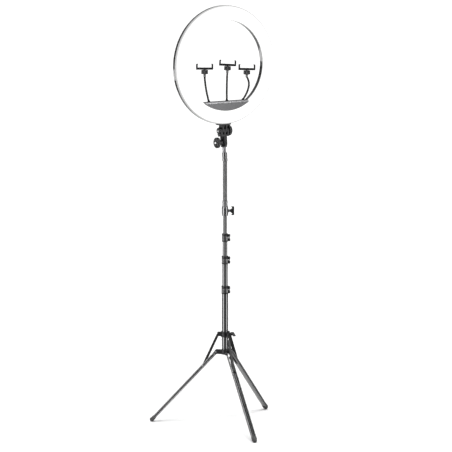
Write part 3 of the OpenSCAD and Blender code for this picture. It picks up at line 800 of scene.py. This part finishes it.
def head():
    """The ribbed head moulding with three fins, the spigot's lock knob and the tilt knob."""
    z = HEAD_LOW
    shoulder = TILT_H - FIN_R - 2
    lock_z = BEND_AT.z + (pivot("socket_knob_turn").z - BEND_AT.z) / cos(LEAN)
    section = [(7.6, z), (11.6, z), (12.5, z + 1.2), (12.6, z + 6), (12.2, z + 7), (13.3, z + 34),
               (14, shoulder - 6), (14, shoulder), (4, shoulder), (4, z + 34), (7.6, z + 34)]
    socket = Shape().sleeve(section, 0.8, NECK, steps=72)
    boss = NECK @ at(0, 0, lock_z) @ turn(-90, "Y")
    socket.sleeve([(4.1, 11), (10.0, 11), (9.4, 16), (9.0, 23), (8.2, 24), (4.1, 24)], 0.7, boss, steps=44)
    for a in (40, 90, 140, -30, -80):
        socket.slab(oblong(11, -1.1, 14.2, 1.1, 0.4), z + 9, shoulder - 4, NECK @ turn(a, "Z"))
    base = oblong(-19, -14, 19, 14, 3)
    socket.slab(base, shoulder - 7, shoulder, NECK)
    for k in (-1, 0, 1):
        fin(socket, 2 * k * FIN_PITCH, NECK @ at(0, 0, TILT_H), FIN_R + 2.5, 1)
    slit = Shape().slab([(-3, -1), (3, -1)] + arc(0, 26, 3, 0, 180, 12), -20, -7,
                        NECK @ at(0, 0, z) @ turn(150, "Z") @ turn(90, "X"))
    piece("head_moulding", socket, "head", "plastic", "black_plastic", ["head_socket"], edge=0.6,
          tools=slit)

    lock = Shape().turned([(0, 7.8), (3.4, 7.8), (4, 8.4), (4, 28), (0, 28)], 0.3, boss, steps=32)
    lock.turned([(0, 24.6), (7.5, 24.6), (8.5, 26), (8.8, 28), (0, 28)], 0.6, boss, steps=40)
    hand_knob(lock, boss @ at(0, 0, 26.6), 22, 12.4)
    piece("spigot_lock_knob", lock, "socket_knob", "knob", "knob_plastic", ["socket_knob"], edge=0)
    bolt = Shape().turned([(0, 35), (4.4, 35), (4.4, 41.2), (3.6, 42.4), (0, 42.6)], 0.5, boss, steps=32)
    piece("lock_bolt_end", bolt, "socket_knob", "chrome", "knob_plastic", edge=0)

    along = NECK @ at(0, 0, TILT_H) @ ALONG_X
    profile = [(0, -20), (4, -20), (4, 19.3), (9, 19.4), (9.4, 22), (0, 22)]
    tilt = Shape().turned(profile, 0.5, along, steps=40)
    hand_knob(tilt, along @ at(0, 0, 21.3), 22, 12.4)
    tilt.turned([(0, -24), (12.4, -24), (12.9, -22.5), (12.9, -19.4), (0, -19.4)], 0.6, along, steps=40)
    piece("tilt_hand_knob", tilt, "tilt_knob", "knob", "knob_plastic", ["tilt_knob"], edge=0)
    profile = [(0, -26), (3.4, -26), (4.2, -25.2), (4.2, -23.8), (0, -23.8)]
    nut = Shape().turned(profile, 0.3, along, steps=6)
    piece("tilt_bolt_nut", nut, "tilt_knob", "chrome", "knob_plastic")


def bracket():
    """The saddle under the ring, with two fins between the head's three."""
    half_w = 31.0
    profile = []
    for k in range(17):
        x = -half_w + 2 * half_w * k / 16
        profile.append((x, RING_Z - sqrt((RING_R + 0.15) ** 2 - x * x)))
    edge = [(half_w, 25.2), (21, 22.9), (17, 22)]
    under = [(x, TILT_Z + z) for x, z in edge + [(-x, z) for x, z in reversed(edge)]]
    part = Shape().slab(profile + under, -22, -1.5, turn(90, "X"))
    for side in (-1, 1):
        fin(part, side * FIN_PITCH, at(0, TILT_Y, TILT_Z), 24.5, -1)
    piece("ring_saddle", part, "ring", "plastic", "black_plastic", ["ring_bracket"], edge=0.6)


# --- Ring lamp ---
def ring_lamp():
    """The housing with its cooling slots, the opal front, and the board and chips between them."""
    wall = 2.2
    ends = arc(RING_R - 4, -RING_BACK + 4, 4, 0, -90, 7)
    inner_ends = arc(HOLE_R + 3, -RING_BACK + 3, 3, -90, -180, 6)
    shell = (ends + inner_ends + [(HOLE_R, RING_FRONT - 3.3), (HOLE_R + 0.7, RING_FRONT - 2.6),
                                  (HOLE_R + wall, RING_FRONT - 2.6), (HOLE_R + wall, -RING_BACK + wall),
                                  (RING_R - wall, -RING_BACK + wall), (RING_R - wall, SEAM - 0.2),
                                  (RING_R - 0.7, SEAM - 0.2), (RING_R, SEAM - 0.9)])
    housing = Shape().lathe(shell, RING, closed=True, steps=220)
    for r in (HOLE_R + 6, RING_R - 18):
        bead = oblong(r, -RING_BACK - 0.7, r + 2.4, -RING_BACK + 1, 0.5)
        housing.lathe(bead, RING, closed=True, steps=200)
    slots = Shape()
    for side in (35, 145):
        for k in range(13):
            a = side - 12 + 2 * k
            spot = RING @ turn(a, "Z") @ at(HOLE_R + 26, 0, 0)
            slots.slab(oblong(-9, -1.4, 9, 1.4, 1.3), -RING_BACK - 3, -RING_BACK + wall - 0.4, spot)
    piece("lamp_housing", housing, "ring", "rim", "ring_shell", ["rear_housing"], edge=0, tools=slots)

    edge = RING_FRONT - SEAM
    skin = arc(RING_R - edge - 0.15, SEAM, edge, 0, 90, 12)
    skin += [(HOLE_R + 3, RING_FRONT), (HOLE_R + 1.2, RING_FRONT - 0.3), (HOLE_R + 0.2, RING_FRONT - 1.2),
             (HOLE_R + 0.2, RING_FRONT - 2.3)]
    skin += arc(RING_R - edge - 0.15, SEAM, edge - wall, 90, 0, 10)
    opal = Shape().lathe(skin, RING, closed=True, steps=220)
    piece("opal_front", opal, "ring", "opal", "opal", ["diffuser"], edge=0)

    plate = oblong(HOLE_R + 8, -3.0, RING_R - 14, -1.4, 0.1, steps=3)
    board = Shape().lathe(plate, RING, closed=True, steps=160)
    piece("led_carrier", board, "ring", "board", "board_white", ["led_board"], edge=0)
    chips = Shape()
    for r in (HOLE_R + 18, RING_R - 26):
        for k in range(72):
            spot = RING @ turn(5 * k, "Z") @ at(r + 2.5, 0, 0)
            chips.slab(oblong(-2.5, -2.5, 2.5, 2.5, 0.5, steps=2), -1.4, -0.2, spot)
    piece("led_array", chips, "ring", "chip", "led_yellow", ["led_chips"], edge=0)


def control_box():
    """The cover behind the ring's foot, with dimmer, power button and inlet, and the case screws."""
    low, high = box("control_cover")
    r_low, r_high = HOLE_R + 9, RING_R - 8
    face = -high.y
    cover = Shape().lathe(oblong(r_low, face, r_high, -RING_BACK - 0.05, [3.5, 3.5, 0.3, 0.3]), RING,
                          closed=True, steps=60, start=-112, span=44)
    tools = Shape().lathe([(r_low + 2.2, face + 2.2), (r_high - 2.2, face + 2.2),
                           (r_high - 2.2, -RING_BACK + 1), (r_low + 2.2, -RING_BACK + 1)], RING,
                          closed=True, steps=60, start=-111.3, span=42.6)
    mid = (r_low + r_high) / 2
    spots = {}
    button_x, inlet_x = 12.0, 48.0
    for name, x in (("dimmer", pivot("dimmer_turn").x), ("button", button_x), ("inlet", inlet_x)):
        spots[name] = at(x, high.y, RING_Z - sqrt(mid * mid - x * x)) @ turn(-90, "X")
    for name, r in (("dimmer", 3.1), ("button", 6.1), ("inlet", 5.55)):
        tools.lathe([(0, -6), (r, -6), (r, 2), (0, 2)], spots[name], steps=32)
    piece("control_box_cover", cover, "ring", "plastic", "black_plastic", ["control_cover"], tools=tools)

    board = Shape().block((low.x + 37, 0, 0), (high.x - 37, 1.6, 24),
                          at(0, RING_BACK + 5, RING_Z - r_high + 8))
    for k in range(5):
        spot = at(-38 + 18 * k, RING_BACK + 6.6, RING_Z - r_high + 14)
        board.block((0, 0, 0), (9, 4, 11), spot)
    piece("driver_circuit", board, "ring", "green", "board_green", ["driver_board"], edge=0.3)

    section = [(2.75, -9), (2.75, 0.2), (3.3, 0.6), (4.9, 0.6), (5.5, 0.1), (5.5, -12), (1.2, -12),
               (1.2, -9)]
    inlet = Shape().sleeve(section, 0.2, spots["inlet"], steps=40)
    piece("power_inlet", inlet, "ring", "plastic", "black_plastic", ["dc_inlet"], edge=0)

    dial = Shape().turned([(0, -6), (3, -6), (3, 1), (0, 1)], 0.2, spots["dimmer"], steps=28)
    hand_knob(dial, spots["dimmer"] @ at(0, 0, 0.6), 11, 11, flutes=18)
    mark = oblong(-0.6, 4.5, 0.6, 8.6, 0.3)
    dial.slab(mark, 9, 11.9, spots["dimmer"])
    piece("dimmer_dial", dial, "dimmer_knob", "control", "control_grey", ["dimmer_knob"], edge=0)

    profile = [(0, -5), (7.2, -5), (7.2, -3), (6, -2.9), (6, 2.2), (5.2, 3), (3.4, 2.6), (0, 2.4)]
    button = Shape().turned(profile, 0.4, spots["button"], steps=40)
    piece("power_push_button", button, "power_button", "control", "control_grey", ["power_button"], edge=0)

    screws = Shape()
    for k in range(6):
        spot = RING @ turn(60 * k, "Z") @ at(RING_R - 8, 0, 0) @ turn(180, "X")
        profile = [(0, RING_BACK - 8), (1.5, RING_BACK - 8), (1.5, RING_BACK + 0.05), (3, RING_BACK + 0.1),
                   (3, RING_BACK + 0.9), (2.2, RING_BACK + 1.7), (0.9, RING_BACK + 1.8),
                   (0.5, RING_BACK + 0.9), (0, RING_BACK + 0.8)]
        screws.turned(profile, 0.25, spot, steps=24)
    piece("case_screws", screws, "ring", "rivet", "rivet_steel", ["housing_screws"], edge=0)


def shelf():
    """The tray across the bottom of the hole, and a lighter strip along its front edge, a painted
    highlight.
    """
    top = SHELF_HIGH.z
    front, back = -SHELF_LOW.y, SHELF_HIGH.y
    drop = RING_Z - top

    def segment(r, inset):
        reach = degrees(acos((drop + inset) / r))
        return arc(0, 0, r, -90 - reach, -90 + reach, 48)

    body = Shape()
    lip = segment(HOLE_R + 3, 5.2)
    body.slab(lip, RING_FRONT + 0.05, front, RING)
    body.slab(segment(HOLE_R - 0.2, 0), -back, RING_FRONT + 1, RING)
    body.slab(segment(HOLE_R - 0.2, 0), RING_FRONT, front - 5.2, RING)
    tools = Shape()
    for i in (1, 2, 3):
        foot = arm_points(i)[0]
        tools.lathe([(0, -12), (3.05, -12), (3.05, 12), (0, 12)], at(foot.x, foot.y, top), steps=24)
    piece("shelf_pan", body, "ring", "shelf", "shelf_grey", ["phone_shelf"], edge=0.7, tools=tools)

    # Painted highlight: a lighter strip along the front top edge, where the edge catches the light.
    half = sqrt((HOLE_R + 3) ** 2 - (drop + 5.2) ** 2)
    strip = [(-front, top - 5.2), (-front + 1.2, top - 2.4), (-front + 4.0, top - 0.5),
             (-front + 6.5, top + 0.1), (-front + 6.5, top - 5.2)]
    painted_highlight = Shape().slab(strip, -half + 1.5, half - 1.5, turn(90, "Z") @ turn(90, "X"))
    piece("shelf_front_painted_highlight", painted_highlight, "ring", "painted_highlight", "shelf_grey")


# --- Phone holders ---
BALL = 12.0


def holder_frame(i):
    """Holder i's frame at the end of its arm: +Z up the holder, +X across the jaws."""
    ball = pivot(f"holder_{i}_tilt")
    up = axis(f"holder_{i}_swivel")
    place = aimed(ball, axis(f"holder_{i}_tilt"), up)
    return place @ at(0, 0, -BALL)


def arm_points(i):
    """The foot, knee and head of arm i."""
    low, high = box(f"arm_base_{i}")
    foot_x = {1: high.x - 6, 2: (low.x + high.x) / 2, 3: low.x + 6}[i]
    foot = Vector((foot_x, 0, SHELF_HIGH.z))
    return foot, pivot(f"arm_{i}_bend"), holder_frame(i).translation


def bend_through(start, middle, end, steps):
    """One smooth bend from start to end, passing the middle point half way."""
    pull = middle * 2 - (start + end) / 2
    parts = [k / steps for k in range(steps + 1)]
    return [start * (1 - t) ** 2 + pull * 2 * t * (1 - t) + end * t**2 for t in parts]


def arms():
    """Three bendable arms, each with a foot in the shelf and a ferrule under its holder."""
    for i in (1, 2, 3):
        foot, knee, tip = arm_points(i)
        top = holder_frame(i)
        end = tip - top.col[2].xyz * 6
        route = bend_through(foot + UP * 1.5, knee, end, 120)
        radii = [3.6 if k % 4 == 0 else 4.1 for k in range(len(route))]
        hose = Shape().sweep(route, radii)
        piece(f"arm_hose_{i}", hose, None, "strut", "hose", [f"arm_base_{i}", f"arm_top_{i}"], edge=0,
              blend=("ring", f"arm_top_{i}", foot * MM, tip * MM))
        profile = [(0, -8), (3, -8), (3, 0), (6.4, 0), (6.4, 1.2), (5.4, 2.6), (4.8, 6), (0, 6)]
        socket = Shape().turned(profile, 0.5, at(foot.x, foot.y, foot.z), steps=40)
        piece(f"arm_foot_{i}", socket, "ring", "plastic", "hose", edge=0)
        profile = [(0, -8), (4.6, -8), (5.2, -7), (5.2, 2.4), (4.4, 3.6), (3, 3.6), (3, 5.4), (0, 5.4)]
        cap = Shape().turned(profile, 0.4, top, steps=36)
        piece(f"arm_ferrule_{i}", cap, f"arm_top_{i}", "ferrule", "hose", edge=0)


TRAY_LOW, TRAY_HIGH, JAW_TOP, TRAY_D = 22.0, 29.5, 44.5, 20.0


def holders():
    """Three phone holders: ball nut, cradle with the fixed jaw, sliding jaw and grip pads."""
    half = 34.5
    for i in (1, 2, 3):
        place = holder_frame(i)
        section = [(3.2, 7), (3.2, 3.8), (10, 3.8), (13.4, 4.6), (14, 6), (14, 17), (13.2, 18.6),
                   (12, 19.8), (5.4, 19.8), (5.3, 16.5)]
        nut = Shape().fluted(rounded(section, 0.5, closed=False, steps=3), place, r=14, flutes=12,
                             depth=1.1, grip=0.9)
        piece(f"ball_nut_{i}", nut, f"holder_nut_{i}", "knob", "black_plastic", [f"holder_nut_{i}"], edge=0)

        cradle = Shape()
        profile = [(0, 6), (3, 6.8), (5.2, 9), (6, 12), (5.2, 15), (3, 17.2), (3, 23), (0, 23)]
        cradle.turned(profile, 0.5, place, steps=40)
        tray = rounded([(-half, TRAY_LOW + 1), (-half + 2, TRAY_LOW), (29.3, TRAY_LOW), (29.3, TRAY_HIGH),
                        (-half + 5, TRAY_HIGH), (-half + 5, JAW_TOP - 2.8), (-half + 8.4, JAW_TOP - 2.2),
                        (-half + 8.0, JAW_TOP), (-half + 1.5, JAW_TOP), (-half, JAW_TOP - 2)], 0.9)
        side = place @ turn(90, "X")
        cradle.slab(tray, -TRAY_D / 2, TRAY_D / 2, side)
        for k in range(5):
            x = -20 + 9 * k
            cradle.block((x, -TRAY_D / 2 - 0.5, TRAY_LOW + 1.6), (x + 5, TRAY_D / 2 + 0.5, TRAY_HIGH - 1.6),
                         place)
        slot = Shape().block((-8, -6.2, 23.85), (40, 6.2, 27.65), place)
        piece(f"phone_cradle_{i}", cradle, f"holder_{i}", "plastic", "black_plastic",
              [f"holder_cradle_{i}"], edge=0.45, tools=slot)

        jaw = Shape().block((-6, -6, 24.05), (31, 6, 27.45), place)
        plate = rounded([(half - 5, TRAY_LOW), (half - 1.5, TRAY_LOW), (half, TRAY_LOW + 2),
                         (half, JAW_TOP - 2), (half - 1.5, JAW_TOP), (half - 8.0, JAW_TOP),
                         (half - 8.4, JAW_TOP - 2.2), (half - 5, JAW_TOP - 2.8)], 0.9)
        jaw.slab(plate, -TRAY_D / 2, TRAY_D / 2, side)
        piece(f"sliding_jaw_{i}", jaw, f"holder_jaw_{i}", "plastic", "black_plastic", [f"holder_jaw_{i}"],
              edge=0.45)
        for name, sign, body in (("fixed", -1, f"holder_{i}"), ("moving", 1, f"holder_jaw_{i}")):
            pad = Shape()
            x0, x1 = sorted((sign * (half - 5.05), sign * (half - 6.3)))
            pad.block((x0, -8.6, TRAY_HIGH + 1.2), (x1, 8.6, JAW_TOP - 3.6), place)
            for k in range(5):
                z = TRAY_HIGH + 2.2 + 1.8 * k
                r0, r1 = sorted((sign * (half - 6.1), sign * (half - 6.9)))
                pad.block((r0, -8.2, z), (r1, 8.2, z + 0.9), place)
            piece(f"{name}_jaw_pad_{i}", pad, body, "pad", "foot_rubber", edge=0.25)


# --- Studio ---
def sheet(name, corners, look):
    """A four-cornered face, which isn't part of the object."""
    mesh = bpy.data.meshes.new(name)
    mesh.from_pydata([tuple(c) for c in corners], [], [(0, 1, 2, 3)])
    mesh.materials.append(look.material)
    made = add_object(name, mesh)
    return made


def card(name, azimuth, distance, width, low, high, radiance):
    """An upright card seen only in reflections, facing the pole: a light strip, or a black flag."""
    a = radians(CAMERA_AZ + azimuth)
    foot = Vector((sin(a), -cos(a), 0)) * distance
    side = Vector((cos(a), sin(a), 0)) * width / 2
    corners = [foot - side + UP * low, foot + side + UP * low, foot + side + UP * high,
               foot - side + UP * high]
    look = Look(name, (0.0, 0.0, 0.0), 1.0, specular=0.0).glowing((1, 1, 1), radiance)
    made = sheet(name, corners, look)
    made.visible_camera = made.visible_diffuse = made.visible_transmission = made.visible_shadow = False


def pale_world():
    """White to the camera; as a light, dimmer near the floor than overhead."""
    world = bpy.data.worlds.new("studio")
    bpy.context.scene.world = world
    world.use_nodes = True
    tree = world.node_tree
    tree.nodes.clear()
    way = add_node(tree, "TexCoord").outputs["Generated"]
    height = add_node(tree, "SeparateXYZ", {"Vector": way}).outputs["Z"]
    limits = {"Value": height, "From Min": 0.15, "From Max": 0.75, "To Min": 0.40, "To Max": 0.85}
    strength = add_node(tree, "MapRange", limits, interpolation_type="SMOOTHSTEP").outputs["Result"]
    white = (1, 1, 1, 1)
    light = add_node(tree, "Background", {"Color": white, "Strength": strength}).outputs["Background"]
    seen = add_node(tree, "Background", {"Color": white, "Strength": 1.0}).outputs["Background"]
    ray = add_node(tree, "LightPath").outputs["Is Camera Ray"]
    mixed = add_node(tree, "MixShader", {"Fac": ray, 1: light, 2: seen}).outputs["Shader"]
    add_node(tree, "OutputWorld", {"Surface": mixed})


def studio():
    """A pale floor and world, one wide soft light from above, and cards that shape the reflections."""
    floor_look = Look("studio_floor", (0.93, 0.93, 0.93), 0.9).mottled(400, (0.92, 0.92, 0.92))
    size, below = 120, -0.0005
    corners = [(-size, -size, 0), (size, -size, 0), (size, size, 0), (-size, size, 0)]
    floor = sheet("studio_floor", corners, floor_look)
    floor.location.z = below
    pale_world()

    sky = bpy.data.lights.new("overhead", "SUN")
    sky.energy, sky.angle = 1.75, radians(34)
    lean = radians(18)
    add_object("overhead", sky).rotation_euler = (lean, 0, radians(CAMERA_AZ))

    # azimuth from the camera's, distance, width, foot, top and radiance, in degrees and metres
    card("left_light", -58, 0.85, 0.52, 0.0, 2.2, 11.0)
    card("right_light", 56, 0.85, 0.45, 0.0, 2.2, 9.0)
    card("front_flag", 8, 0.85, 0.63, 0.0, 2.2, 0.02)
    card("left_flag", -100, 0.9, 0.6, 0.0, 1.2, 0.1)
    card("right_flag", 98, 0.85, 0.6, 0.0, 2.2, 0.05)
    card("back_light", -114, 3.0, 1.3, 0.1, 1.12, 6.0)

    view = bpy.context.scene.view_settings
    view.view_transform = "Standard"
    view.look = "None"
    view.exposure = 0.0
    view.gamma = 1.0


CAMERA_AZ, CAMERA_EL = -33.72, 9.21
CAMERA_DISTANCE = 8.397
AIM_RIGHT, AIM_HIGH = 0.00413, 0.8342
CAMERA_LENS = 163.6


def camera():
    a, e = radians(CAMERA_AZ), radians(CAMERA_EL)
    back = Vector((sin(a) * cos(e), -cos(a) * cos(e), sin(e)))
    data = bpy.data.cameras.new("camera")
    data.lens = CAMERA_LENS
    data.sensor_width = 36.0
    data.dof.use_dof = False
    data.clip_start, data.clip_end = 0.5, 400
    made = add_object("camera", data)
    aim = Vector((AIM_RIGHT * cos(a), AIM_RIGHT * sin(a), AIM_HIGH))
    made.location = aim + back * CAMERA_DISTANCE
    made.rotation_mode = "QUATERNION"
    made.rotation_quaternion = (-back).to_track_quat("-Z", "Y")
    bpy.context.scene.camera = made


camera()
studio()
column()
sliding_collar()
legs()
struts()
pole_sections()
flip_clamps()
neck()
head()
bracket()
ring_lamp()
control_box()
shelf()
arms()
holders()
